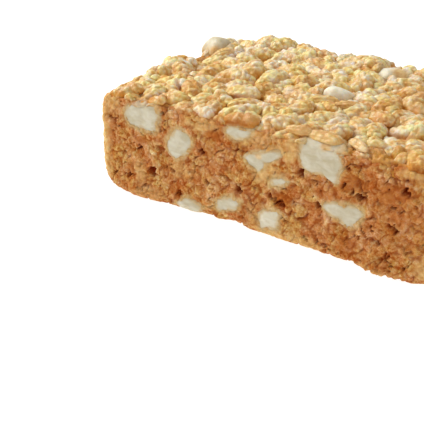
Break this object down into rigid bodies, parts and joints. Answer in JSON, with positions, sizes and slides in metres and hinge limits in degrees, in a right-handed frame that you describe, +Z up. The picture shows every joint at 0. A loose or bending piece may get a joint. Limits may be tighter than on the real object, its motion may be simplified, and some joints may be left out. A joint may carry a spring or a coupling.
{
  "type": "marshmallow crisped-rice bar",
  "caption": "Pressed bar of toasted crisped rice with marshmallow pieces, cut flush on its sides, with whole puffed grains on top.",
  "frame": {"origin": "on the underside, below the middle of the bar", "axes": "+X along the bar's length, +Y across it to the side away from the picture's camera, +Z up out of the grained top"},
  "size_m": [0.0917, 0.0444, 0.0215],
  "materials": {
    "toasted_rice": "toasted golden puffed rice, sticky and slightly glossy on top, matt crumb on the cut sides",
    "marshmallow": "soft matt white marshmallow, translucent yellow at its rims"
  },
  "bodies": {
    "root": {"crisped_rice": "toasted_rice", "marshmallow_front_1": "marshmallow", "marshmallow_front_2": "marshmallow", "marshmallow_front_3": "marshmallow", "marshmallow_front_4": "marshmallow", "marshmallow_front_5": "marshmallow", "marshmallow_front_6": "marshmallow", "marshmallow_front_7": "marshmallow", "marshmallow_front_8": "marshmallow", "marshmallow_front_9": "marshmallow", "marshmallow_front_10": "marshmallow", "marshmallow_front_11": "marshmallow", "marshmallow_front_12": "marshmallow", "marshmallow_front_13": "marshmallow", "marshmallow_back_1": "marshmallow", "marshmallow_back_2": "marshmallow", "marshmallow_back_3": "marshmallow", "marshmallow_back_4": "marshmallow", "marshmallow_back_5": "marshmallow", "marshmallow_back_6": "marshmallow", "marshmallow_back_7": "marshmallow", "marshmallow_top_1": "marshmallow", "marshmallow_top_2": "marshmallow", "marshmallow_top_3": "marshmallow", "marshmallow_top_4": "marshmallow", "marshmallow_top_5": "marshmallow", "marshmallow_top_6": "marshmallow", "marshmallow_left_1": "marshmallow", "marshmallow_left_2": "marshmallow", "marshmallow_right_1": "marshmallow", "marshmallow_right_2": "marshmallow", "marshmallow_underside_1": "marshmallow", "marshmallow_underside_2": "marshmallow"}
  },
  "joints": []
}
